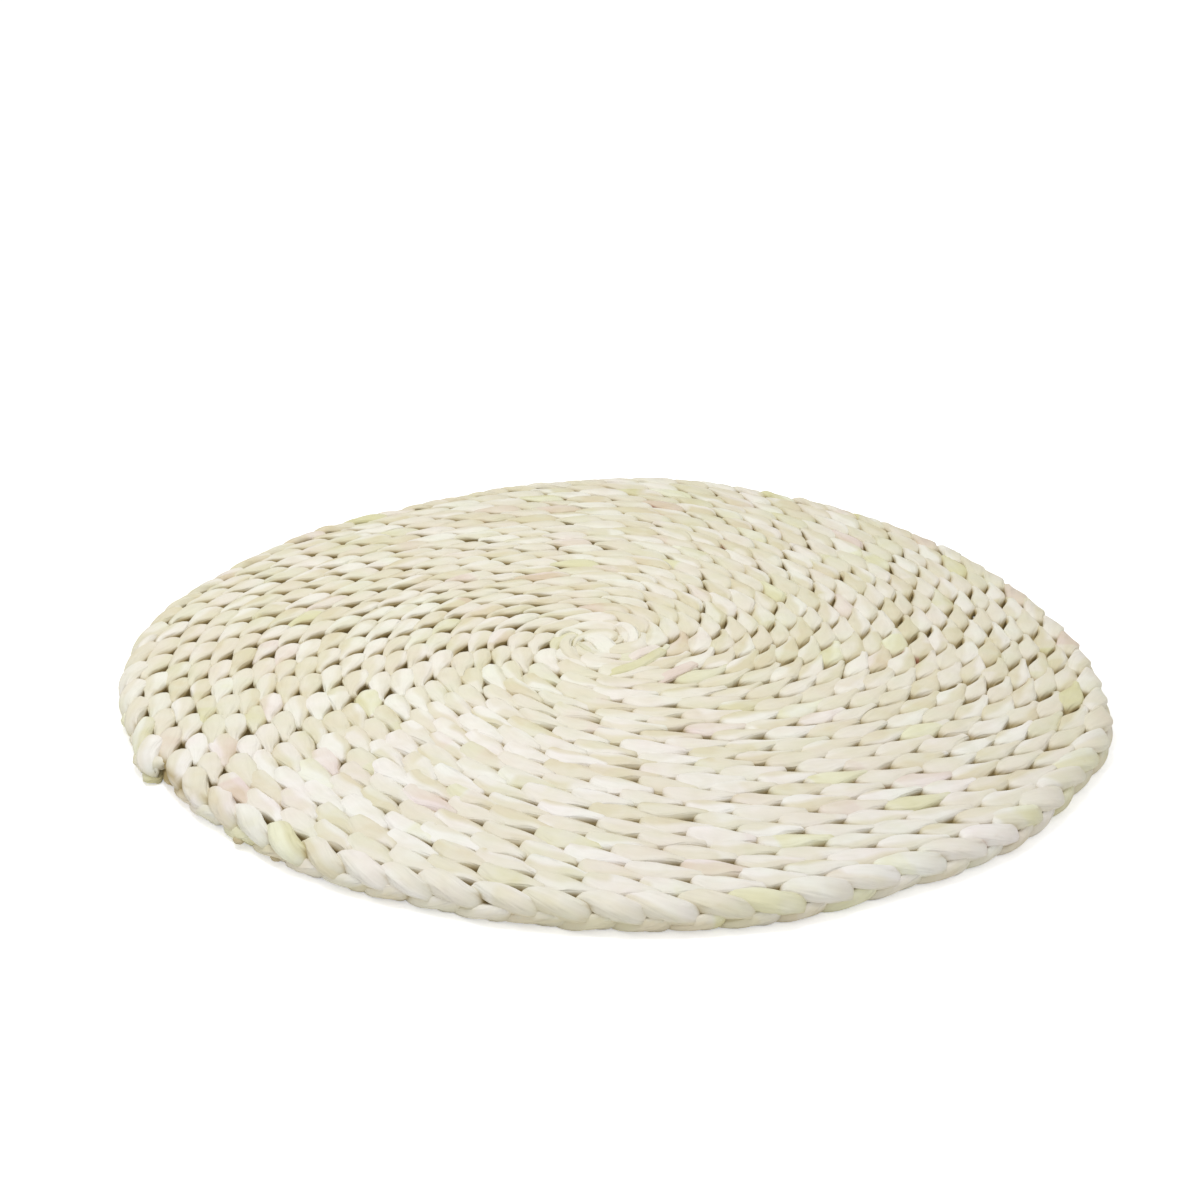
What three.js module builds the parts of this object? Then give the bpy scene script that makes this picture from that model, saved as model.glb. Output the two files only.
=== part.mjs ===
// A round table mat: one long plait of pale maize husk, standing on its edge and wound
// from the centre outwards, so that it lies flat as a disc of narrow rows.
// Millimetres, +Z up, the underside at height 0. Seen from above, the plait is wound
// anticlockwise and its cut end is tucked against the rim at the front left.
import * as THREE from 'three';

// The plait.
const rowWidth = 8.5;
const thickness = 10.4;
const fullTurns = 21;
// The groove between two rows, on the face that shows and on the underside.
const grooveDepthTop = 2.0;
const grooveDepthUnder = 1.6;
// A row is drawn by three lines: the groove on its inner side and the two edges of its crest.
const linesPerRow = 3;
const crestLow = 0.27;
const crestHigh = 0.73;
// The wound start is a small round cap, from which the first groove runs out.
const capRadiusInRows = 0.5;
// The outermost row bulges past its two grooves.
const rimBulge = 1.3;
// The direction of the tucked end from the wound centre, in degrees, and what is left of
// the row's width there.
const endDirection = 213;
const endWidth = 0.55;
const columns = 40;
// What the photographed outline adds to an even spiral, in millimetres at the rim, for
// directions every 20 degrees anticlockwise from the right. Rows share it in proportion.
const unevenOutline = {
  stepDegrees: 20,
  addedRadius: [3.5, -1.5, -2.9, -0.8, 3.6, -5.2, -12.4, -12.0, -8.9, -3.5, -3.9, 0.6, 2.7, 4.5, 9.0, 9.5, 12.4, 12.2],
};
const meanRadius = rowWidth * (fullTurns + capRadiusInRows + 0.5);
const lastLine = fullTurns * linesPerRow;

const huskCream = '#e9e2cf';

// The added radius in one direction, on a smooth closed curve through the table's values.
function addedRadiusAt(degrees) {
  const { stepDegrees, addedRadius } = unevenOutline;
  const count = addedRadius.length;
  const place = THREE.MathUtils.euclideanModulo(degrees, 360) / stepDegrees;
  const index = Math.floor(place);
  const t = place - index;
  const [a, b, c, d] = [-1, 0, 1, 2].map((n) => addedRadius[(index + n + count) % count]);
  const slope = (c - a) / 2;
  const nextSlope = (d - b) / 2;
  const bend = 3 * (c - b) - 2 * slope - nextSlope;
  const twist = slope + nextSlope - 2 * (c - b);
  return b + t * (slope + t * (bend + t * twist));
}

// The direction of a column, in degrees. Column 0 passes through the tucked end.
function directionOf(column) {
  return endDirection + (360 * column) / columns;
}

// How many rows out a point is: lines run outwards, and each gains one row in a full turn.
function rowsOut(line, column) {
  const whole = Math.floor(line / linesPerRow);
  const part = [0, crestLow, crestHigh][line % linesPerRow];
  const turn = column / columns;
  const plain = whole + part + turn + capRadiusInRows;
  const pastRim = line - lastLine;
  return pastRim > 0 ? fullTurns + capRadiusInRows + (endWidth * pastRim) / linesPerRow : plain;
}

// The point of a line and a column in plan, moved outwards by a distance.
function planPoint(line, column, outwards = 0) {
  const degrees = directionOf(column);
  const radius = rowsOut(line, column) * rowWidth;
  const uneven = radius * (1 + addedRadiusAt(degrees) / meanRadius) + outwards;
  const angle = THREE.MathUtils.degToRad(degrees);
  return [uneven * Math.cos(angle), uneven * Math.sin(angle)];
}

// The depth of the surface below the crests. The first groove starts at the level of the
// cap and reaches its depth within its first turn.
function depthAt(line, column, grooveDepth) {
  if (line % linesPerRow !== 0) {
    return 0;
  }
  return line === 0 ? grooveDepth * (column / columns) ** 2 : grooveDepth;
}

// One closed surface: the ribbed top, the ribbed underside and the rounded rim between them.
function makePlaitedMat() {
  const positions = [];
  const faces = [];
  const addPoint = (xy, z) => positions.push(xy[0], xy[1], z) / 3 - 1;
  const addFace = (flip, a, b, c) => faces.push(...(flip ? [a, c, b] : [a, b, c]));

  // The lines that a column holds. The tucked end adds one row's lines to column 0.
  const linesIn = (column) => lastLine + 1 + (column === 0 ? linesPerRow : 0);

  // A side's points, by line and column, and a lookup that goes on around the spiral.
  function addSide(heightAt) {
    const centre = addPoint([0, 0], heightAt(1, 0));
    const grid = [];
    for (let column = 0; column < columns; column += 1) {
      const points = [];
      for (let line = 0; line < linesIn(column); line += 1) {
        const inset = line >= lastLine && line % linesPerRow === 0 ? -rimBulge : 0;
        points.push(addPoint(planPoint(line, column, inset), heightAt(line, column)));
      }
      grid.push(points);
    }
    const at = (line, column) => (column === columns ? grid[0][line + linesPerRow] : grid[column][line]);
    return { centre, at };
  }

  function coverSide({ centre, at }, flip) {
    for (let column = 0; column < columns; column += 1) {
      for (let line = 0; line < lastLine; line += 1) {
        const near = [at(line, column), at(line + 1, column)];
        const far = [at(line, column + 1), at(line + 1, column + 1)];
        addFace(flip, near[0], near[1], far[1]);
        addFace(flip, near[0], far[1], far[0]);
      }
    }
    // The cap inside the first groove, and the stretch where that groove closes on its start.
    for (let column = 0; column < columns - 1; column += 1) {
      addFace(flip, centre, at(0, column), at(0, column + 1));
    }
    const last = at(0, columns - 1);
    addFace(flip, centre, last, at(0, 0));
    for (let line = 0; line < linesPerRow; line += 1) {
      addFace(flip, at(line, 0), last, at(line + 1, 0));
    }
  }

  const top = addSide((line, column) => thickness - depthAt(line, column, grooveDepthTop));
  const under = addSide((line, column) => depthAt(line, column, grooveDepthUnder));
  coverSide(top, false);
  coverSide(under, true);

  // The rim: once around along the last line, out to the tucked end, and back along its cut.
  const rim = [];
  for (let column = 0; column < columns; column += 1) {
    rim.push([lastLine, column]);
  }
  for (let line = lastLine + linesPerRow; line > lastLine; line -= 1) {
    rim.push([line, 0]);
  }
  const middle = rim.map(([line, column]) => addPoint(planPoint(line, column), thickness / 2));
  rim.forEach(([line, column], index) => {
    const next = (index + 1) % rim.length;
    const [nextLine, nextColumn] = rim[next];
    addFace(false, under.at(line, column), under.at(nextLine, nextColumn), middle[next]);
    addFace(false, under.at(line, column), middle[next], middle[index]);
    addFace(false, middle[index], middle[next], top.at(nextLine, nextColumn));
    addFace(false, middle[index], top.at(nextLine, nextColumn), top.at(line, column));
  });

  const geometry = new THREE.BufferGeometry();
  geometry.setAttribute('position', new THREE.Float32BufferAttribute(positions, 3));
  geometry.setIndex(faces);
  // The middle of its box stands over the origin.
  geometry.computeBoundingBox();
  const middleOfBox = geometry.boundingBox.getCenter(new THREE.Vector3());
  geometry.translate(-middleOfBox.x, -middleOfBox.y, 0);
  geometry.computeVertexNormals();

  const husk = new THREE.MeshStandardMaterial({ color: huskCream, roughness: 0.72, metalness: 0 });
  const mat = new THREE.Mesh(geometry, husk);
  mat.name = 'plaited_mat';
  return mat;
}

const part = new THREE.Group();
part.add(makePlaitedMat());

export default part;
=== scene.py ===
# Round plaited table mat of pale maize husk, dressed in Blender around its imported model.
# Lengths below are in millimetres unless a name says otherwise, and become metres in the meshes.
import math

import bpy
import numpy as np
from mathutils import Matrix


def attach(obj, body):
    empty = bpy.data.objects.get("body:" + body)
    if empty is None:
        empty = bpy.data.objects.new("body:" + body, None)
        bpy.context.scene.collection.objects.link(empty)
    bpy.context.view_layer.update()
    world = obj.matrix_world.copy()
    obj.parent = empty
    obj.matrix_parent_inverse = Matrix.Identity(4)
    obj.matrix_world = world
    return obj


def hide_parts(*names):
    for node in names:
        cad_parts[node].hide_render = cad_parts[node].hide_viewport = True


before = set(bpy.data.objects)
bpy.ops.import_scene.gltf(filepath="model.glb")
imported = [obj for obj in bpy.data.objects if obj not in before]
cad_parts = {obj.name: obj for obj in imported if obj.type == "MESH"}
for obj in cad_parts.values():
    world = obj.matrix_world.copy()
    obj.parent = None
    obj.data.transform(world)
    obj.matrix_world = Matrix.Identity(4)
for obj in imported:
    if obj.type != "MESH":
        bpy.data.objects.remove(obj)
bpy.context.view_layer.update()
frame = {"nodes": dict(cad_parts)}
print("frame loaded:", ", ".join(frame["nodes"]))

mm = 0.001

# The wound plan, as the solid has it: rows of one plait, an uneven rim and a tucked end.
windPlan = {
    "rowWidth": 8.5,
    "fullTurns": 21,
    "capRadiusInRows": 0.5,
    "endDirection": 213.0,
    "stepDegrees": 20,
    "addedRadius": [3.5, -1.5, -2.9, -0.8, 3.6, -5.2, -12.4, -12.0, -8.9,
                    -3.5, -3.9, 0.6, 2.7, 4.5, 9.0, 9.5, 12.4, 12.2],
    "columns": 40,
    "thickness": 10.4,
}
meanRadius = windPlan["rowWidth"] * (windPlan["fullTurns"] + windPlan["capRadiusInRows"] + 0.5)


def cubicBetween(a, b, c, d, t):
    # the smooth way from b to c, t from 0 to 1: its slope at each is that from one neighbour to
    # the other
    slope = (c - a) / 2
    nextSlope = (d - b) / 2
    bend = 3 * (c - b) - 2 * slope - nextSlope
    twist = slope + nextSlope - 2 * (c - b)
    return b + t * (slope + t * (bend + t * twist))


def closedCurve(table, place):
    # a smooth closed curve through a table's values, at places counted in table steps
    table = np.array(table, float)
    index = np.floor(place).astype(int)
    near = [table[np.mod(index + n, len(table))] for n in (-1, 0, 1, 2)]
    return cubicBetween(*near, place - index)


def addedRadiusAt(degrees):
    # what the uneven outline adds at the rim
    return closedCurve(windPlan["addedRadius"], np.mod(degrees, 360.0) / windPlan["stepDegrees"])


def planRadius(rowsOut, degrees):
    # rows share what the outline adds in proportion to their own radius
    return rowsOut * windPlan["rowWidth"] * (1 + addedRadiusAt(degrees) / meanRadius)


def woundCentre():
    # the middle of the solid's box is over the origin, so the winding's centre lies beside it
    column = np.arange(windPlan["columns"])
    degrees = windPlan["endDirection"] + 360.0 * column / windPlan["columns"]
    rowsOut = windPlan["fullTurns"] + windPlan["capRadiusInRows"] + column / windPlan["columns"]
    radius = planRadius(rowsOut, degrees)
    x = radius * np.cos(np.radians(degrees))
    y = radius * np.sin(np.radians(degrees))
    return np.array([-(x.min() + x.max()) / 2, -(y.min() + y.max()) / 2])


centreXY = woundCentre()
print("wound centre", centreXY.round(2))


def wander(positions, spacing, seed):
    # smooth random values between -1 and 1: seeded values at even spacing, joined by cosines
    rng = np.random.default_rng(seed)
    count = int(positions.max() / spacing) + 3
    values = rng.uniform(-1, 1, count)
    place = np.clip(positions, 0, None) / spacing
    index = np.floor(place).astype(int)
    t = (1 - np.cos(math.pi * (place - index))) / 2
    return values[index] * (1 - t) + values[index + 1] * t


def planWarp(x, y):
    # rows wander together by sums of slow waves, so that neighbours stay side by side
    dx = 0.7 * np.sin(x / 17 + 1.3 * np.sin(y / 29)) + 0.5 * np.sin(y / 11 + 2.0)
    dy = 0.7 * np.sin(y / 19 + 1.1 * np.sin(x / 23) + 0.7) + 0.5 * np.sin(x / 13 + 0.4)
    return dx, dy


plait = {
    "lobeSpacing": 16.5,      # between two lobes on one edge of the plait
    "startTurn": -0.8,        # the winding starts this many turns before the wound centre's cap
    "pathPoints": 60000,
    "ringsInLobe": 18,
    "sectionPoints": 16,
    "rise": 3.1,              # from the middle of the plait up to a strand's middle at the edge
    "turned": 74,             # degrees that a strand turns from lying flat to standing on edge
    "quick": 2.8,             # how much faster a strand crosses the plait than it runs along an edge
    "hollow": 0.1,            # how much thinner a strand is at its two edges
    "lipLength": 0.7,         # the step at the edge of a husk strip rises over about this distance
    "rimLean": 0.08,          # how much further out the outermost row stands at its foot
    "rimFrom": 1.03,          # the outermost row starts this many turns before the end,
    "rimBlend": 0.06,         # and the weave changes over to it within this part of a turn
    "rimOutside": 4.6,        # from the row's middle line to the outer side of the rim
    "rowCover": 9.0,          # the other rows' sides are covered: they count as this much further in
    "rimStraw": 0.45,         # added to the tone along the rim, which makes it straw coloured
    "strawBelow": 0.5,        # below this height above the middle of the plait
    "startLength": 6.0,       # over which the plait thickens at the wound centre
    "endLength": 13.0,        # over which it thins at the tucked end
    "startSize": 0.55,        # what is left of its size at the wound centre
    "endSize": 0.40,          # and at the tucked end
    "riseShrinks": 0.45,      # the share of that shrinking that a strand's rise takes
    "endSinks": 1.5,
    "endDrawsIn": 1.2,
    "endPale": 30.0,          # the pit colour fades out over this length before the tucked end
    "endTint": -0.7,
    "underside": 0.05,        # nothing lies lower,
    "undersideRound": 0.10,   # and the middle of a strand's face at least this much higher
    "pieces": ["inner", "outer"],
    "seed": 4100,
}

# What chance changes on the strands: by how much, in millimetres, degrees or a share of the value,
# how far apart its chance values lie, in lobes or in millimetres along the plait, and its seed.
uneven = {
    "rowSlip": (1.6, 40, 7),        # all three strands together, along the row
    "strandSlip": (1.7, 25, 1),     # each strand by itself, along the row
    "lobeRise": (0.05, 1, 2),
    "height": (0.12, 23, 3),
    "lobeOut": (0.12, 1, 4),
    "sideways": (0.45, 1, 5),
    "twist": (7, 0.7, 6),
    "width": (0.12, 1, 7),
    "thickness": (0.10, 1, 8),
    "lipPlace": (2.4, 31, 9),       # how far from the middle one husk strip ends and the next shows
    "lipHeight": (0.32, 45, 10),
    "sunken": (0.30, 1, 11),        # a few lobes lie this much deeper
    "dentHeight": (0.15, 7, 40),    # each line of points has a seed of its own, counted from this one
    "dentAcross": (0.22, 8, 60),
}


def chance(name, positions, seed):
    # what one line of the table above adds at each position
    size, spacing, ownSeed = uneven[name]
    return size * wander(positions, spacing, seed + ownSeed)


# What a strand does while it climbs over the top edge, in steps of 15 degrees of its weave, from
# crossing the middle upwards to just before it crosses the middle downwards. Under the lower
# edge it does the same upside down. "out" and the half sizes "wide" and "thick" are in
# millimetres, "up" is a share of the rise and "turn" a share of the turn onto its edge. The two
# edges of the band are round at 1 and boxy towards 0. "openAt" is how far the rows are open (below
# 0 they are tighter), for directions every 40 degrees anticlockwise from the right, and
# "olivePaintedShade" is how many millimetres deeper the inner edge is coloured where the rows are
# open: painted shade on the blunt wall of a lobe's head, partly the husk's own olive.
weave = {
    "stepDegrees": 15,
    "openStepDegrees": 40,
    "openAt": [1.0, 0.35, 0.3, 0.55, 1.0, 0.6, -0.9, -0.5, 0.5],
    "olivePaintedShade": [0.0, 0.0, 0.0, 0.0, 0.0, 0.0, 0.1, 0.5, 0.9, 0.8, 0.4, 0.1],
    "inRow": {
        "out": [1.0, -2.3, -2.3, -1.6, -0.6, 0.2, 0.4, 1.1, 2.3, 3.3, 3.7, 3.4],
        "up": [-0.40, 0.14, 0.70, 0.95, 1.00, 1.01, 1.01, 1.01, 1.00, 0.99, 0.94, 0.78],
        "wide": [1.7, 1.9, 2.6, 3.4, 4.3, 5.0, 4.9, 4.1, 2.9, 1.9, 1.6, 1.5],
        "turn": [0.60, 0.40, 0.16, 0.03, -0.03, -0.03, -0.01, 0.02, 0.0, -0.08, -0.20, -0.42],
        "thick": [1.6, 1.8, 1.9, 2.0, 2.0, 2.0, 2.0, 2.0, 2.0, 1.95, 1.9, 1.7],
        "innerEdge": [0.8, 0.6, 0.5, 0.42, 0.40, 0.42, 0.70, 1.10, 1.10, 0.90, 0.70, 0.70],
        "outerEdge": [0.8, 0.9, 0.95, 0.85, 0.65, 0.45, 0.40, 0.40, 0.42, 0.45, 0.50, 0.60],
    },
    # where the rows are looser, a strand rises later, its lobe has a blunter head and the pit in
    # front of the head is open
    "open": {
        "out": [1.2, -2.2, -2.5, -2.0, -0.8, 0.1, 0.4, 1.7, 3.0, 3.5, 3.7, 3.4],
        "up": [-0.40, -0.05, 0.38, 0.80, 0.98, 1.01, 1.01, 1.01, 0.99, 0.97, 0.92, 0.78],
        "wide": [1.7, 1.5, 1.9, 2.8, 4.1, 4.9, 4.7, 3.4, 2.1, 1.7, 1.5, 1.5],
        "turn": [0.60, 0.44, 0.24, 0.08, -0.02, -0.04, -0.03, -0.02, -0.06, -0.12, -0.22, -0.42],
        "thick": [1.6, 1.7, 1.8, 1.9, 2.0, 2.0, 2.0, 2.0, 2.0, 1.95, 1.9, 1.7],
        "innerEdge": [0.8, 0.7, 0.65, 0.6, 0.55, 0.50, 0.65, 0.90, 0.90, 0.80, 0.70, 0.70],
        "outerEdge": [0.8, 0.9, 0.95, 0.85, 0.70, 0.58, 0.52, 0.50, 0.50, 0.52, 0.56, 0.64],
    },
    # the outermost row shows its outer side, where the lobes of both edges meet
    "atRim": {
        "out": [0.6, -1.2, -2.1, -2.0, -1.1, 0.0, 1.2, 2.2, 2.7, 2.7, 2.3, 1.5],
        "up": [0.22, 0.45, 0.80, 0.96, 1.00, 0.99, 0.92, 0.78, 0.60, 0.40, 0.20, -0.02],
        "wide": [2.4, 2.5, 2.9, 3.4, 4.1, 4.5, 4.3, 3.9, 3.5, 3.2, 2.9, 2.6],
        "turn": [0.98, 0.70, 0.35, 0.14, 0.02, -0.10, -0.28, -0.50, -0.68, -0.80, -0.90, -0.98],
        "thick": [1.6, 1.7, 1.8, 2.0, 2.1, 2.2, 2.3, 2.3, 2.2, 2.1, 2.0, 1.8],
        "innerEdge": [0.6, 0.6, 0.5, 0.5, 0.5, 0.5, 0.5, 0.5, 0.5, 0.5, 0.6, 0.6],
        "outerEdge": [0.6, 0.6, 0.6, 0.55, 0.5, 0.5, 0.5, 0.5, 0.5, 0.5, 0.6, 0.6],
    },
}


def plaitPlace(turn):
    # the middle line of the plait: its row number grows by one in each turn
    degrees = windPlan["endDirection"] + 360.0 * turn
    radius = planRadius(turn + 2 * windPlan["capRadiusInRows"], degrees)
    return degrees, radius * np.cos(np.radians(degrees)), radius * np.sin(np.radians(degrees))


def plaitPath():
    # the middle line's turns and the length of plait up to each
    turn = np.linspace(plait["startTurn"], windPlan["fullTurns"], plait["pathPoints"])
    degrees, x, y = plaitPlace(turn)
    along = np.concatenate([[0.0], np.cumsum(np.hypot(np.diff(x), np.diff(y)))])
    return turn, along


pathTurn, pathAlong = plaitPath()
plaitLength = pathAlong[-1]
print("plait length", round(plaitLength / 1000, 2), "m")


def plaitFrame(s):
    # at each length along the plait: its place, the way outwards, and how uneven the mat is there
    def place(length):
        turn = np.interp(length, pathAlong, pathTurn)
        return turn, *plaitPlace(turn)

    step = 0.4
    turn, degrees, x, y = place(s)
    before = place(s - step)
    after = place(s + step)
    dx = after[2] - before[2]
    dy = after[3] - before[3]
    length = np.hypot(dx, dy) + 1e-9
    wide = 1 + addedRadiusAt(degrees) / meanRadius
    outX = dy / length
    outY = -dx / length
    return {"turn": turn, "degrees": degrees, "x": x, "y": y, "wide": wide, "outX": outX, "outY": outY}


def roundedStep(distance, length):
    # grows from 0 to 1 within a length, as a quarter circle does
    rest = 1 - np.clip(distance / length, 0, 1)
    return np.sqrt(np.clip(1 - rest ** 2, 0, 1))


def strandWeave(number):
    # where each ring of a strand is: its phase in the weave and its length along the plait
    seed = plait["seed"] + 100 * number
    period = 3 * plait["lobeSpacing"]
    rings = plait["ringsInLobe"]
    phase = math.pi * np.arange(rings * (int(plaitLength / period * 2) + 3)) / rings
    s = period * (phase / (2 * math.pi) - number / 3.0) - plait["quick"] * np.sin(2 * phase)
    inside = (s > 0) & (s < plaitLength)
    phase = phase[inside]
    s = s[inside]
    s = s + chance("rowSlip", s, 0) + chance("strandSlip", s, seed)
    return phase, np.clip(s, 0, plaitLength - 0.01)


def boxier(wave, power):
    # a circle's cosine or sine raised to a power, which squares the circle as the power nears 0
    return np.sign(wave) * np.abs(wave) ** power


def bandSection(halfWidth, halfThick, innerPower, outerPower):
    # a strand's cross section: a squared circle with a power of its own for the inner and the outer
    # edge; bandX runs across it and bandY through it
    alpha = 2 * math.pi * (np.arange(plait["sectionPoints"]) + 0.5) / plait["sectionPoints"]
    cos = np.cos(alpha)[None, :]
    sin = np.sin(alpha)[None, :]
    power = np.where(cos < 0, innerPower[:, None], outerPower[:, None])
    across = boxier(cos, power)
    over = boxier(sin, power)
    bandX = halfWidth[:, None] * across
    bandY = halfThick[:, None] * over * (1 - plait["hollow"] * across ** 2)
    return bandX, bandY, across, over


def strandGrid(number):
    # one strand, a thick flattened band carried along the plait's middle line: it climbs over
    # the top edge from the inner to the outer side, crosses back inside, and does the same,
    # upside down, under the lower edge; every lobe has its own width, place and twist
    seed = plait["seed"] + 100 * number
    phase, s = strandWeave(number)
    frameAt = plaitFrame(s)
    # counted in lobes, with the whole numbers in the middle of each
    lobePlace = phase / math.pi + 8.5
    steps = phase / math.radians(weave["stepDegrees"])
    openness = closedCurve(weave["openAt"], np.mod(frameAt["degrees"], 360.0) / weave["openStepDegrees"])
    openness = np.clip(openness, -1, 1)
    rimStart = windPlan["fullTurns"] - plait["rimFrom"]
    outermost = np.clip((frameAt["turn"] - rimStart) / plait["rimBlend"], 0, 1)

    def woven(name, sign):
        # a table's value at each ring: the upper half of the weave, then the lower half
        tables = [weave[row][name] for row in ("inRow", "open", "atRim")]
        curves = [closedCurve(table + [sign * v for v in table], steps) for table in tables]
        inRow = curves[0] + openness * (curves[1] - curves[0])
        return inRow + outermost * (curves[2] - inRow)

    # towards both ends the plait thins, and at the rim it draws in against the row inside; both of
    # these are 0 at that end of the plait and 1 along the rest of it
    offEnd = roundedStep(plaitLength - s, plait["endLength"])
    offStart = roundedStep(s, plait["startLength"])
    shrink = plait["endSize"] + (1 - plait["endSize"]) * offEnd
    shrink = shrink * (plait["startSize"] + (1 - plait["startSize"]) * offStart)
    # the middle of the band, upwards and outwards from the middle of the plait
    midUp = plait["rise"] * woven("up", -1) * (1 + chance("lobeRise", lobePlace, seed))
    midOut = woven("out", 1) * (1 + chance("lobeOut", lobePlace, seed))
    size, spacing, ownSeed = uneven["sunken"]
    sunken = size * np.abs(wander(lobePlace, spacing, seed + ownSeed)) ** 3
    midUp = midUp + chance("height", s, seed) - sunken * np.sign(midUp)
    midOut = midOut + chance("sideways", lobePlace, seed)
    riseLeft = 1 - plait["riseShrinks"] * (1 - shrink)
    midUp = midUp * riseLeft - plait["endSinks"] * (1 - offEnd)
    midOut = midOut * shrink - plait["endDrawsIn"] * (1 - offEnd)
    facing = np.radians(90 + plait["turned"] * woven("turn", -1) + chance("twist", lobePlace, seed))
    halfWidth = woven("wide", 1) * (1 + chance("width", lobePlace, seed)) * shrink
    halfThick = woven("thick", 1) * (1 + chance("thickness", lobePlace, seed)) * shrink
    edges = [woven("innerEdge", 1), woven("outerEdge", 1)]
    bandX, bandY, across, over = bandSection(halfWidth, halfThick, *edges)
    # where one husk strip ends across the band and the next shows under it, with a step between
    lip = bandX - chance("lipPlace", s, seed)[:, None]
    step = chance("lipHeight", s, seed)[:, None] * np.tanh(lip / plait["lipLength"]) / 2
    bandY = bandY + step * np.sign(over)
    # dents and soft folds: each line of points along the strand wanders by itself
    for column in range(plait["sectionPoints"]):
        bandY[:, column] += chance("dentHeight", s, seed + column)
        bandX[:, column] += chance("dentAcross", s, seed + column)

    cosF = np.cos(facing)[:, None]
    sinF = np.sin(facing)[:, None]
    out = (midOut[:, None] + bandX * sinF + bandY * cosF) * frameAt["wide"][:, None]
    up = midUp[:, None] - bandX * cosF + bandY * sinF
    out = out - plait["rimLean"] * outermost[:, None] * up
    x = frameAt["x"][:, None] + frameAt["outX"][:, None] * out + centreXY[0]
    y = frameAt["y"][:, None] + frameAt["outY"][:, None] * out + centreXY[1]
    dx, dy = planWarp(x, y)
    z = windPlan["thickness"] / 2 + up
    z = np.maximum(z, plait["underside"] + plait["undersideRound"] * np.abs(over))
    points = np.stack([x + dx, y + dy, z], -1) * mm
    # how deep a point lies below the faces of the mat, or at the rim below its outer side; the material
    # paints the deep places with the pit colour, painted shade in part
    depth = windPlan["thickness"] / 2 - np.abs(up)
    depth = np.minimum(depth, plait["rimOutside"] - out + plait["rowCover"] * (1 - outermost[:, None]))
    # painted shade: where the pit in front of it is open, the blunt inner side of a lobe's head counts
    # as deeper, so it takes on more of the olive pit colour, partly the husk's own olive
    olivePaintedShade = closedCurve(weave["olivePaintedShade"] * 2, steps) * np.clip(openness, 0, 1) * (1 - outermost)
    innerSide = np.clip(-1.4 * across - 0.2, 0, 1)
    depth = depth + olivePaintedShade[:, None] * innerSide
    # towards the tucked end the pit colour, painted shade in part, fades out
    depth = depth * np.clip((plaitLength - s) / plait["endPale"], 0, 1)[:, None] ** 2
    # the tucked end is yellowish
    tint = np.broadcast_to(plait["endTint"] * (1 - offEnd)[:, None], depth.shape)
    # along the rim the lower lobes are straw coloured
    straw = plait["rimStraw"] * outermost[:, None] * np.clip(plait["strawBelow"] - up, 0, 1)
    return s, points, {"lip": lip, "depth": depth, "tint": tint, "toneA": straw, "toneB": straw}


def uvGrid(u, v, shape):
    return np.stack([np.broadcast_to(u, shape), np.broadcast_to(v, shape)], -1)


def tubeMesh(name, points, uvAlong, layers):
    # closes grids of rings into tubes, one or many: quads between rings, a fan at each end, with
    # the corners of a face in the order in which it points outwards
    tubes, n, m = points.shape[:3]
    ends = np.stack([points[:, 0].mean(1), points[:, -1].mean(1)], 1)
    verts = np.concatenate([points.reshape(tubes, n * m, 3), ends], 1)
    first = np.arange(tubes)[:, None, None] * (n * m + 2)
    i = np.arange(n - 1)[None, :, None] * m + first
    j = np.arange(m)[None, None, :]
    k = (j + 1) % m
    quads = np.stack([i + j, i + m + j, i + m + k, i + k], -1)
    j = np.arange(m)[None, :]
    k = (j + 1) % m
    first = first[:, :, 0]
    startCap = np.stack([first + j, first + k, first + n * m + 0 * j], -1)
    endCap = np.stack([first + (n - 1) * m + k, first + (n - 1) * m + j, first + n * m + 1 + 0 * j], -1)
    mesh = bpy.data.meshes.new(name)
    mesh.vertices.add(tubes * (n * m + 2))
    mesh.vertices.foreach_set("co", verts.ravel())
    loops = np.concatenate([quads.ravel(), startCap.ravel(), endCap.ravel()])
    sizes = np.concatenate([np.full(quads.size // 4, 4), np.full(2 * tubes * m, 3)])
    starts = np.concatenate([[0], np.cumsum(sizes)[:-1]])
    mesh.loops.add(len(loops))
    mesh.loops.foreach_set("vertex_index", loops)
    mesh.polygons.add(len(sizes))
    mesh.polygons.foreach_set("loop_start", starts)
    mesh.polygons.foreach_set("loop_total", sizes)
    mesh.polygons.foreach_set("use_smooth", np.ones(len(sizes), bool))
    mesh.update(calc_edges=True)
    # u runs once around the band, v along it in tens of millimetres
    around = np.arange(m) / m
    u = np.stack([around, around, around + 1 / m, around + 1 / m], -1)
    v = np.asarray(uvAlong) / 10.0
    along = np.stack([v[:, :-1], v[:, 1:], v[:, 1:], v[:, :-1]], -1)
    shape = (tubes, n - 1, m, 4)
    capShape = (tubes, m, 3)
    startU = np.stack([around, around + 1 / m, around + 0.5 / m], -1)
    endU = np.stack([around + 1 / m, around, around + 0.5 / m], -1)
    quadUv = uvGrid(u[None, None], along[:, :, None], shape)
    startUv = uvGrid(startU[None], v[:, :1, None], capShape)
    endUv = uvGrid(endU[None], v[:, -1:, None], capShape)
    layer = mesh.uv_layers.new(name="bandUv")
    uvs = np.concatenate([part.reshape(-1, 2) for part in (quadUv, startUv, endUv)])
    layer.data.foreach_set("uv", uvs.astype(np.float32).ravel())
    for layerName, grid in layers.items():
        ends = np.stack([grid[:, 0].mean(1), grid[:, -1].mean(1)], 1)
        values = np.concatenate([grid.reshape(tubes, n * m), ends], 1)
        attribute = mesh.attributes.new(layerName, "FLOAT", "POINT")
        attribute.data.foreach_set("value", values.astype(np.float32).ravel())
    mesh.validate()
    obj = bpy.data.objects.new(name, mesh)
    bpy.context.scene.collection.objects.link(obj)
    return obj


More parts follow.
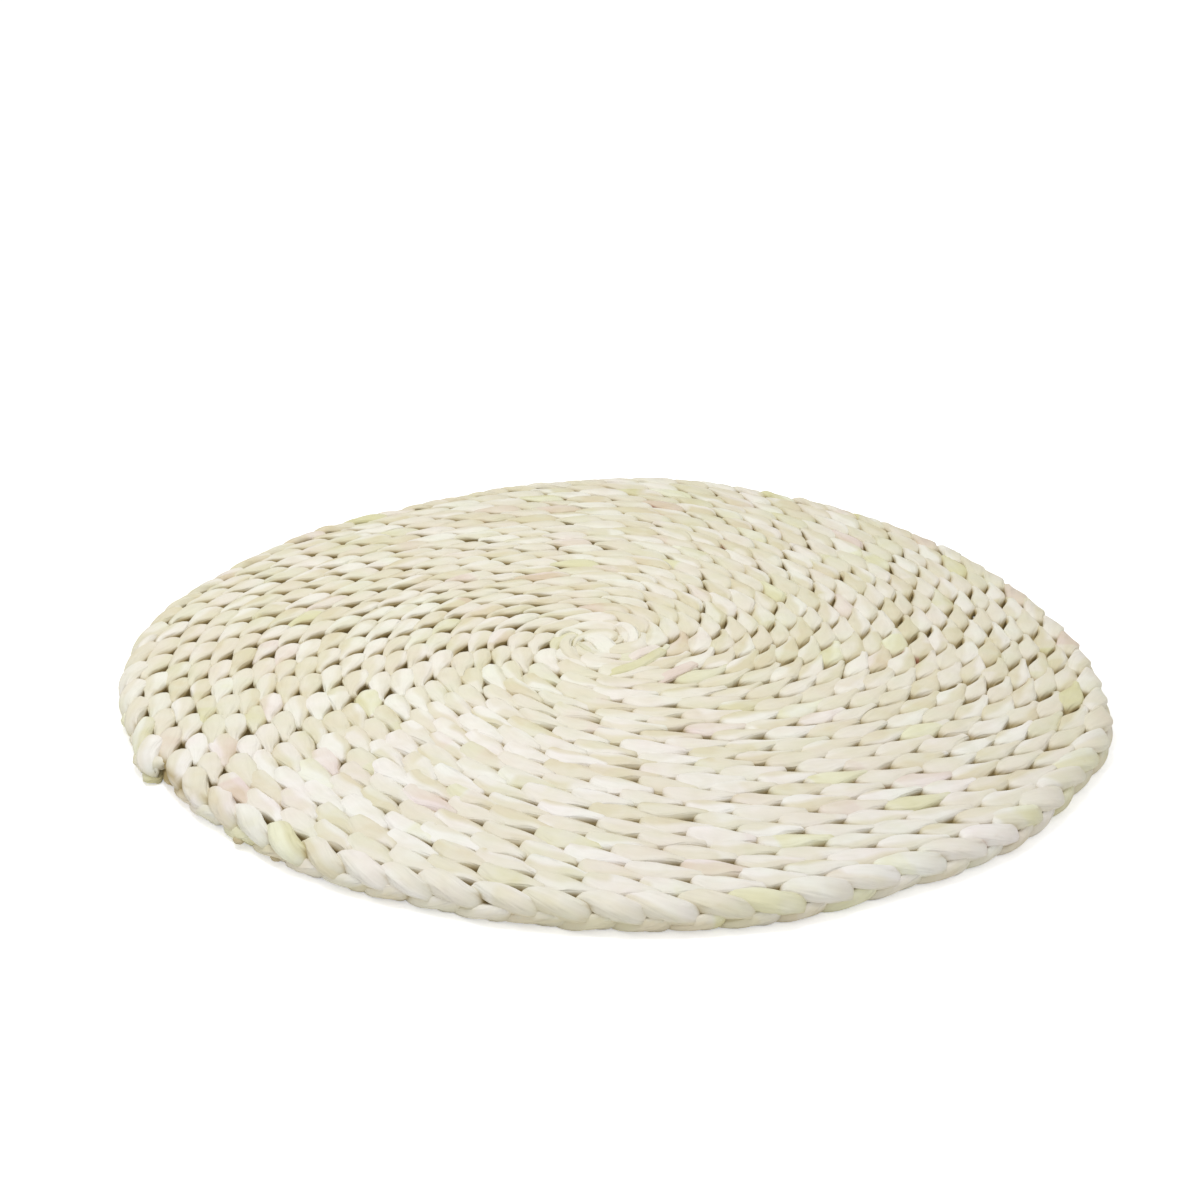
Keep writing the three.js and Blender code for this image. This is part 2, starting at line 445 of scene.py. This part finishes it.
def stripTone(s, seed, meanLength):
    # each laid-in strip of husk has one random tone; strips follow each other along the strand
    rng = np.random.default_rng(seed)
    lengths = rng.uniform(0.5, 1.5, int(s[-1] / meanLength * 1.6) + 5) * meanLength
    ends = np.cumsum(lengths)
    tones = rng.uniform(0, 1, len(lengths) + 1)
    return tones[np.searchsorted(ends, s)]


# Each strand's strips of husk follow each other in two layers, side A and side B of the lip, and
# once more for the tint; the mean lengths are in millimetres.
stripLengths = {"toneA": 85, "toneB": 70, "tint": 60}


def makeStrands():
    made = []
    for number in range(3):
        s, points, layers = strandGrid(number)
        for step, (layer, meanLength) in enumerate(stripLengths.items()):
            tone = stripTone(s, plait["seed"] + 100 * number + 20 + step, meanLength)[:, None]
            # few strips are clearly green or pink
            layers[layer] = layers[layer] + ((2 * tone - 1) ** 9 if layer == "tint" else tone)
        cuts = np.linspace(0, len(s) - 1, len(plait["pieces"]) + 1).astype(int)
        for part, name in enumerate(plait["pieces"]):
            rows = slice(cuts[part], cuts[part + 1] + 1)
            taken = {key: grid[None, rows] for key, grid in layers.items()}
            name = f"husk_strand_{number + 1}_{name}"
            made.append(tubeMesh(name, points[None, rows], s[None, rows], taken))
    return made


# Loose strips over the wound centre, from the wound centre in millimetres: the points that a
# strip runs through (x, y and the height of its middle), its half width, half thickness, the
# degrees that it leans to its left, its tone and its tint (green below 0, pink above).
centreStrips = [
    {"path": [(-5.0, 6.0, 8.2), (-3.2, 2.6, 9.5), (0.2, -2.6, 9.8), (2.6, -8.6, 9.5), (4.2, -12.5, 8.2)],
     "wide": 4.3, "thick": 1.1, "lean": 0, "tone": 0.05, "tint": 0.0},
    {"path": [(3.4, 15.6, 8.2), (8.2, 14.0, 9.6), (12.0, 8.2, 9.8), (12.2, -0.5, 9.5), (9.6, -8.5, 8.4)],
     "wide": 2.2, "thick": 1.3, "lean": 6, "tone": 0.05, "tint": 0.1},
    {"path": [(-9.6, 8.2, 8.4), (-13.2, 2.0, 9.5), (-14.6, -6.2, 9.7), (-11.6, -15.6, 9.6),
              (-4.4, -22.0, 8.4)],
     "wide": 2.4, "thick": 1.2, "lean": 8, "tone": 0.55, "tint": 0.0},
    {"path": [(-18.6, 1.0, 8.4), (-17.2, 5.6, 9.7), (-13.2, 8.4, 9.9), (-9.2, 6.4, 9.6), (-8.4, 2.4, 8.4)],
     "wide": 1.5, "thick": 1.1, "lean": 0, "tone": 0.15, "tint": 0.0},
    {"path": [(-9.8, 1.6, 8.2), (-8.6, -3.6, 9.3), (-5.6, -8.4, 9.4), (-1.6, -11.8, 8.2)],
     "wide": 1.7, "thick": 0.9, "lean": -16, "tone": 0.80, "tint": -0.2},
    {"path": [(-8.0, -14.2, 8.2), (-2.6, -14.8, 9.5), (4.2, -14.9, 9.6), (10.6, -13.6, 8.4)],
     "wide": 1.9, "thick": 1.0, "lean": 0, "tone": 0.30, "tint": 0.2},
    {"path": [(9.6, -17.4, 8.2), (13.6, -14.4, 9.7), (18.8, -9.4, 9.8), (22.6, -3.4, 8.4)],
     "wide": 2.5, "thick": 1.2, "lean": 6, "tone": 0.10, "tint": 0.5},
    {"path": [(0.4, -30.6, 8.4), (7.6, -27.4, 9.7), (15.4, -21.8, 9.9), (21.6, -13.4, 9.8),
              (24.8, -4.6, 8.4)],
     "wide": 2.7, "thick": 1.2, "lean": 6, "tone": 0.85, "tint": -0.9},
    {"path": [(20.4, -36.2, 8.2), (26.4, -31.8, 9.8), (32.6, -25.6, 9.9), (37.6, -17.8, 8.4)],
     "wide": 2.7, "thick": 1.2, "lean": 4, "tone": 0.35, "tint": 1.0},
]


def throughPoints(path, count):
    # a smooth open curve through a strip's points, evenly parted by number
    table = np.array(path, float)
    table = np.concatenate([2 * table[:1] - table[1:2], table, 2 * table[-1:] - table[-2:-1]])
    place = np.linspace(1, len(path) - 1e-6, count)
    index = np.floor(place).astype(int)
    near = [table[np.minimum(index + n, len(table) - 1)] for n in (-1, 0, 1, 2)]
    return cubicBetween(*near, (place - index)[:, None])


# The power of the loose strips' cross section, and what is left of their width and thickness at
# the two points.
looseShape = {"power": 0.6, "pointWidth": 0.25, "pointThickness": 0.35}


def bandAlong(path, halfWidth, halfThick, lean, rings, sides):
    # a flattened strip along a curve, pointed at both ends; lean turns it about its own length
    line = throughPoints(path, rings)
    ahead = np.gradient(line, axis=0)
    ahead /= np.linalg.norm(ahead, axis=1)[:, None]
    left = np.cross([0, 0, 1.0], ahead)
    left /= np.linalg.norm(left, axis=1)[:, None]
    over = np.cross(ahead, left)
    c = math.cos(math.radians(lean))
    s = math.sin(math.radians(lean))
    left, over = left * c + over * s, over * c - left * s
    place = np.linspace(-1, 1, rings)
    swell = (1 - np.abs(place) ** 4) ** 0.5
    alpha = 2 * math.pi * (np.arange(sides) + 0.5) / sides
    across = boxier(np.cos(alpha), looseShape["power"])
    above = boxier(np.sin(alpha), looseShape["power"])
    width = looseShape["pointWidth"] + (1 - looseShape["pointWidth"]) * swell
    thickness = looseShape["pointThickness"] + (1 - looseShape["pointThickness"]) * swell
    wide = halfWidth * width[:, None] * across[None, :]
    thick = halfThick * thickness[:, None] * above[None, :]
    grid = line[:, None, :] - left[:, None, :] * wide[..., None] + over[:, None, :] * thick[..., None]
    length = np.concatenate([[0], np.cumsum(np.linalg.norm(np.diff(line, axis=0), axis=1))])
    return grid, length


def makeLoose(name, strips, depth, rings, sides):
    # all strips of a list as one mesh; depth is what the husk's material takes for their depth
    grids = []
    lengths = []
    for strip in strips:
        grid, length = bandAlong(strip["path"], strip["wide"], strip["thick"], strip["lean"], rings, sides)
        grids.append((grid + [centreXY[0], centreXY[1], 0]) * mm)
        lengths.append(length)
    points = np.stack(grids)
    tone, tint = [np.array([strip[key] for strip in strips])[:, None, None] for key in ("tone", "tint")]
    layers = {"lip": 0, "depth": depth, "toneA": tone, "toneB": tone, "tint": tint}
    layers = {key: np.broadcast_to(value, points.shape[:3]) for key, value in layers.items()}
    return tubeMesh(name, points, np.stack(lengths), layers)


# Cut ends of husk that peep out under the rim at the front left, written as the strips above.
stubs = [
    {"path": [(-117.4, -138.6, 3.8), (-119.2, -140.8, 3.2), (-120.8, -142.7, 2.2)],
     "wide": 2.6, "thick": 0.9, "lean": 8, "tone": 1.0, "tint": 0.0},
    {"path": [(-103.4, -148.0, 4.0), (-105.0, -150.7, 3.4), (-106.5, -153.3, 2.2)],
     "wide": 2.2, "thick": 0.9, "lean": -10, "tone": 1.0, "tint": 0.1},
    {"path": [(-89.9, -155.4, 4.0), (-91.1, -157.8, 3.4), (-92.1, -160.0, 2.4)],
     "wide": 1.0, "thick": 0.7, "lean": 0, "tone": 1.0, "tint": 0.0},
]


def newMaterial(name):
    material = bpy.data.materials.new(name)
    material.use_nodes = True
    tree = material.node_tree
    tree.nodes.clear()
    return material, tree


def node(tree, kind, **values):
    made = tree.nodes.new(kind)
    for key, value in values.items():
        if key in made.inputs:
            made.inputs[key].default_value = value
        else:
            setattr(made, key, value)
    return made


def asLight(colour):
    # colours are written as they look on a screen and go into the nodes as light
    return (*[c ** 2.2 for c in colour], 1)


def colourRamp(tree, value, stops):
    ramp = node(tree, "ShaderNodeValToRGB")
    elements = ramp.color_ramp.elements
    for place, colour in stops:
        if place in (0.0, 1.0):
            element = elements[0 if place == 0.0 else len(elements) - 1]
        else:
            element = elements.new(place)
        element.color = asLight(colour)
    tree.links.new(value, ramp.inputs["Fac"])
    return ramp.outputs["Color"]


def mapped(tree, value, fromRange, toRange=(0, 1), **settings):
    # a value carried from one range to another
    made = node(tree, "ShaderNodeMapRange", **settings)
    for name, number in zip(("From Min", "From Max", "To Min", "To Max"), (*fromRange, *toRange)):
        made.inputs[name].default_value = number
    tree.links.new(value, made.inputs["Value"])
    return made.outputs["Result"]


def noiseAt(tree, vector, **values):
    noise = node(tree, "ShaderNodeTexNoise", **values)
    tree.links.new(vector, noise.inputs["Vector"])
    return noise.outputs["Fac"]


def drawnOut(tree, vector, scale):
    # coordinates scaled by their own factor in each direction
    stretch = node(tree, "ShaderNodeMapping", Scale=scale)
    tree.links.new(vector, stretch.inputs["Vector"])
    return stretch.outputs["Vector"]


def mixed(tree, factor, a, b, **settings):
    # mixes two values or colours; each of the three is a socket or a fixed value
    mix = node(tree, "ShaderNodeMix", **settings)
    for name, value in (("Factor", factor), ("A", a), ("B", b)):
        if isinstance(value, bpy.types.NodeSocket):
            tree.links.new(value, mix.inputs[name])
        else:
            mix.inputs[name].default_value = value
    return mix.outputs["Result"]


def bumpOn(tree, height, strength, distance, under=None):
    bump = node(tree, "ShaderNodeBump", Strength=strength, Distance=distance)
    tree.links.new(height, bump.inputs["Height"])
    if under is not None:
        tree.links.new(under, bump.inputs["Normal"])
    return bump.outputs["Normal"]


huskLook = {
    # bleached husk, from near white over ivory to the rarer greenish, straw, tan and pink strips
    "tones": [(0.00, (0.94, 0.928, 0.90)), (0.30, (0.912, 0.892, 0.845)), (0.60, (0.893, 0.869, 0.798)),
              (0.85, (0.880, 0.854, 0.766)), (1.00, (0.863, 0.828, 0.718))],
    "toneDrift": 0.14,
    "lipBlend": 1.3,          # millimetres to either side in which one strip's tone meets the next's
    # what the tint multiplies the tone by, from strongly green to strongly pink
    "tints": [(0.00, (0.975, 0.985, 0.89)), (0.30, (0.99, 1.0, 0.985)), (0.50, (1.0, 0.997, 0.995)),
              (0.70, (1.0, 0.985, 0.992)), (1.00, (0.98, 0.93, 0.945))],
    "tintShare": 0.5,
    "fibreShade": (0.965, 1.03),
    # towards the viewer of the photo the mat is whiter: metres along Y in which it turns yellower
    "yellowFrom": (-0.11, -0.03),
    "yellowing": (0.995, 0.995, 0.967),
    # down between the lobes the husk is coloured olive brown, partly its own olive inner husk and partly
    # painted shade in the hollows; in a few places it is red brown, its own stains
    "pitOliveAndShade": (0.66, 0.59, 0.42),
    "redPit": (0.62, 0.36, 0.28),
    "pitShadeDepths": (0.6, 2.8),  # millimetres below the face in which the pit colour comes in
    "redCells": (0.90, 0.93),  # pits are red brown in the cells whose chance value, 0 to 1, is past this
    # painted light: the pits glow a little in their own colour, in place of the light that the thin husk
    # lets through
    "pitPaintedGlow": 0.11,          # a little light comes through the thin husk into the pits
    "roughness": 0.52,
    "noiseRange": (0.3, 0.7),  # between which most of a noise's values lie
    # the bump of the soft folds and of the fibres: its strength and its height in metres
    "foldBump": (0.7, 0.0014),
    "fibreBump": (0.25, 0.0004),
}


def makeHusk():
    material, tree = newMaterial("corn husk")
    link = tree.links.new
    look = huskLook
    out = node(tree, "ShaderNodeOutputMaterial")
    shader = node(tree, "ShaderNodeBsdfPrincipled", Roughness=look["roughness"])
    link(shader.outputs["BSDF"], out.inputs["Surface"])
    place = node(tree, "ShaderNodeTexCoord").outputs["Object"]
    uv = node(tree, "ShaderNodeUVMap", uv_map="bandUv").outputs["UV"]
    lip, toneA, toneB, tint, depth = [
        node(tree, "ShaderNodeAttribute", attribute_name=name).outputs["Fac"]
        for name in ("lip", "toneA", "toneB", "tint", "depth")
    ]
    # each strip has its tone, which changes slowly along and across
    blend = (-look["lipBlend"], look["lipBlend"])
    side = mapped(tree, lip, blend, interpolation_type="SMOOTHSTEP")
    tone = mixed(tree, side, toneA, toneB, data_type="FLOAT")
    cloud = noiseAt(tree, place, Scale=110, Detail=2)
    noiseRange = look["noiseRange"]
    drift = mapped(tree, cloud, noiseRange, (-look["toneDrift"], look["toneDrift"]), clamp=False)
    toned = node(tree, "ShaderNodeMath", operation="ADD")
    link(tone, toned.inputs[0])
    link(drift, toned.inputs[1])
    colour = colourRamp(tree, toned.outputs["Value"], look["tones"])
    # fibres: noise drawn out along the band
    fibre = noiseAt(tree, drawnOut(tree, uv, (26, 0.5, 1)), Scale=1.6, Detail=6, Roughness=0.6)
    shade = mapped(tree, fibre, noiseRange, look["fibreShade"])
    colour = mixed(tree, 1, colour, shade, data_type="RGBA", blend_type="MULTIPLY")
    # green and pink strips, and a faint blush of either that comes and goes
    blush = noiseAt(tree, place, Scale=65, Detail=3)
    tinted = node(tree, "ShaderNodeMath", operation="MULTIPLY_ADD")
    tinted.inputs[1].default_value = look["tintShare"]
    link(tint, tinted.inputs[0])
    link(blush, tinted.inputs[2])
    tintColour = colourRamp(tree, tinted.outputs["Value"], look["tints"])
    colour = mixed(tree, 1, colour, tintColour, data_type="RGBA", blend_type="MULTIPLY")
    across = node(tree, "ShaderNodeSeparateXYZ")
    link(place, across.inputs["Vector"])
    behind = mapped(tree, across.outputs["Y"], look["yellowFrom"])
    yellow = asLight(look["yellowing"])
    colour = mixed(tree, behind, colour, yellow, data_type="RGBA", blend_type="MULTIPLY")
    # the pits: painted shade, partly the husk's own olive, with its red brown stains
    deep = mapped(tree, depth, look["pitShadeDepths"], interpolation_type="SMOOTHSTEP")
    cells = node(tree, "ShaderNodeTexVoronoi", Scale=75)
    link(place, cells.inputs["Vector"])
    chosen = mapped(tree, cells.outputs["Color"], look["redCells"])
    pitOliveAndShade = mixed(tree, chosen, asLight(look["pitOliveAndShade"]), asLight(look["redPit"]), data_type="RGBA")
    colour = mixed(tree, deep, colour, pitOliveAndShade, data_type="RGBA")
    link(colour, shader.inputs["Base Color"])
    # painted light: the deeper a point lies, the more it glows in its own colour
    glow = node(tree, "ShaderNodeMath", operation="MULTIPLY")
    glow.inputs[1].default_value = look["pitPaintedGlow"]
    link(deep, glow.inputs[0])
    link(colour, shader.inputs["Emission Color"])
    link(glow.outputs["Value"], shader.inputs["Emission Strength"])
    # soft folds along the band, under the fibres
    fold = noiseAt(tree, drawnOut(tree, uv, (5.5, 0.9, 1)), Scale=1.4, Detail=1)
    folded = bumpOn(tree, fold, *look["foldBump"])
    link(bumpOn(tree, fibre, *look["fibreBump"], under=folded), shader.inputs["Normal"])
    return material


husk = makeHusk()
strands = makeStrands() + [
    makeLoose("husk_centre", centreStrips, depth=0.6, rings=26, sides=16),
    # at the stubs' depth the husk takes on part of the olive brown pit colour, painted shade in part, and
    # of the pits' painted glow
    makeLoose("husk_stubs", stubs, depth=2.0, rings=10, sides=10),
]
for strand in strands:
    strand.data.materials.append(husk)
    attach(strand, "root")
    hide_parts("plaited_mat")
print("strands made:", sum(len(o.data.polygons) for o in strands) * 2, "triangles")

studio = {
    "eye": (1.3, -666.6, 324.2),
    "pitchDegrees": 23.969,
    "yawDegrees": -0.383,
    "focalPixels": 1843.4,
    "framePixels": 1200.0,
    "sensor": 36.0,
    "floorHalf": 9.0,         # metres
    "floorWhite": 0.93,
    "floorGlow": 0.42,        # white paper, a little overexposed where the camera sees it
    "skyStrength": 0.70,
    "keyEnergy": 1.6,
    "keySize": 0.35,
    "keyPlace": (-0.15, -0.03, 0.60),
    "keyAim": (0.0, -0.03, 0.0),
}


def makeCamera(scene):
    camera = bpy.data.cameras.new("camera")
    camera.sensor_width = studio["sensor"]
    camera.sensor_fit = "HORIZONTAL"
    camera.lens = studio["focalPixels"] / studio["framePixels"] * studio["sensor"]
    camera.clip_start = 0.01
    camera.clip_end = 60
    camera.dof.use_dof = False
    eye = bpy.data.objects.new("camera", camera)
    eye.location = [c * mm for c in studio["eye"]]
    eye.rotation_euler = (math.radians(90 - studio["pitchDegrees"]), 0, math.radians(-studio["yawDegrees"]))
    scene.collection.objects.link(eye)
    scene.camera = eye


def makeFloor(scene):
    half = studio["floorHalf"]
    corners = [(-half, -half, 0), (half, -half, 0), (half, half, 0), (-half, half, 0)]
    mesh = bpy.data.meshes.new("floor")
    mesh.from_pydata(corners, [], [(0, 1, 2, 3)])
    floor = bpy.data.objects.new("floor", mesh)
    scene.collection.objects.link(floor)
    material, tree = newMaterial("pale floor")
    out = node(tree, "ShaderNodeOutputMaterial")
    shader = node(tree, "ShaderNodeBsdfPrincipled", Roughness=0.9)
    shader.inputs["Base Color"].default_value = (*[studio["floorWhite"]] * 3, 1)
    shader.inputs["Emission Color"].default_value = (1, 1, 1, 1)
    rays = node(tree, "ShaderNodeLightPath")
    glow = node(tree, "ShaderNodeMath", operation="MULTIPLY")
    glow.inputs[1].default_value = studio["floorGlow"]
    tree.links.new(rays.outputs["Is Camera Ray"], glow.inputs[0])
    tree.links.new(glow.outputs["Value"], shader.inputs["Emission Strength"])
    tree.links.new(shader.outputs["BSDF"], out.inputs["Surface"])
    mesh.materials.append(material)


def makeLight(scene):
    world = bpy.data.worlds.new("studio")
    world.use_nodes = True
    sky = world.node_tree.nodes["Background"]
    sky.inputs["Color"].default_value = (1, 1, 1, 1)
    sky.inputs["Strength"].default_value = studio["skyStrength"]
    scene.world = world
    key = bpy.data.lights.new("key", "AREA")
    key.shape = "DISK"
    key.size = studio["keySize"]
    key.energy = studio["keyEnergy"]
    lamp = bpy.data.objects.new("key", key)
    lamp.location = studio["keyPlace"]
    # the lamp shines down its own -Z: tipped by the slope of its aim, then turned towards it
    aim = np.array(studio["keyAim"]) - np.array(studio["keyPlace"])
    tip = math.atan2(math.hypot(aim[0], aim[1]), -aim[2])
    lamp.rotation_euler = (tip, 0, math.atan2(aim[1], aim[0]) - math.pi / 2)
    scene.collection.objects.link(lamp)


def makeStudio():
    scene = bpy.context.scene
    makeCamera(scene)
    makeFloor(scene)
    makeLight(scene)
    scene.view_settings.view_transform = "Standard"


makeStudio()
print("studio made")
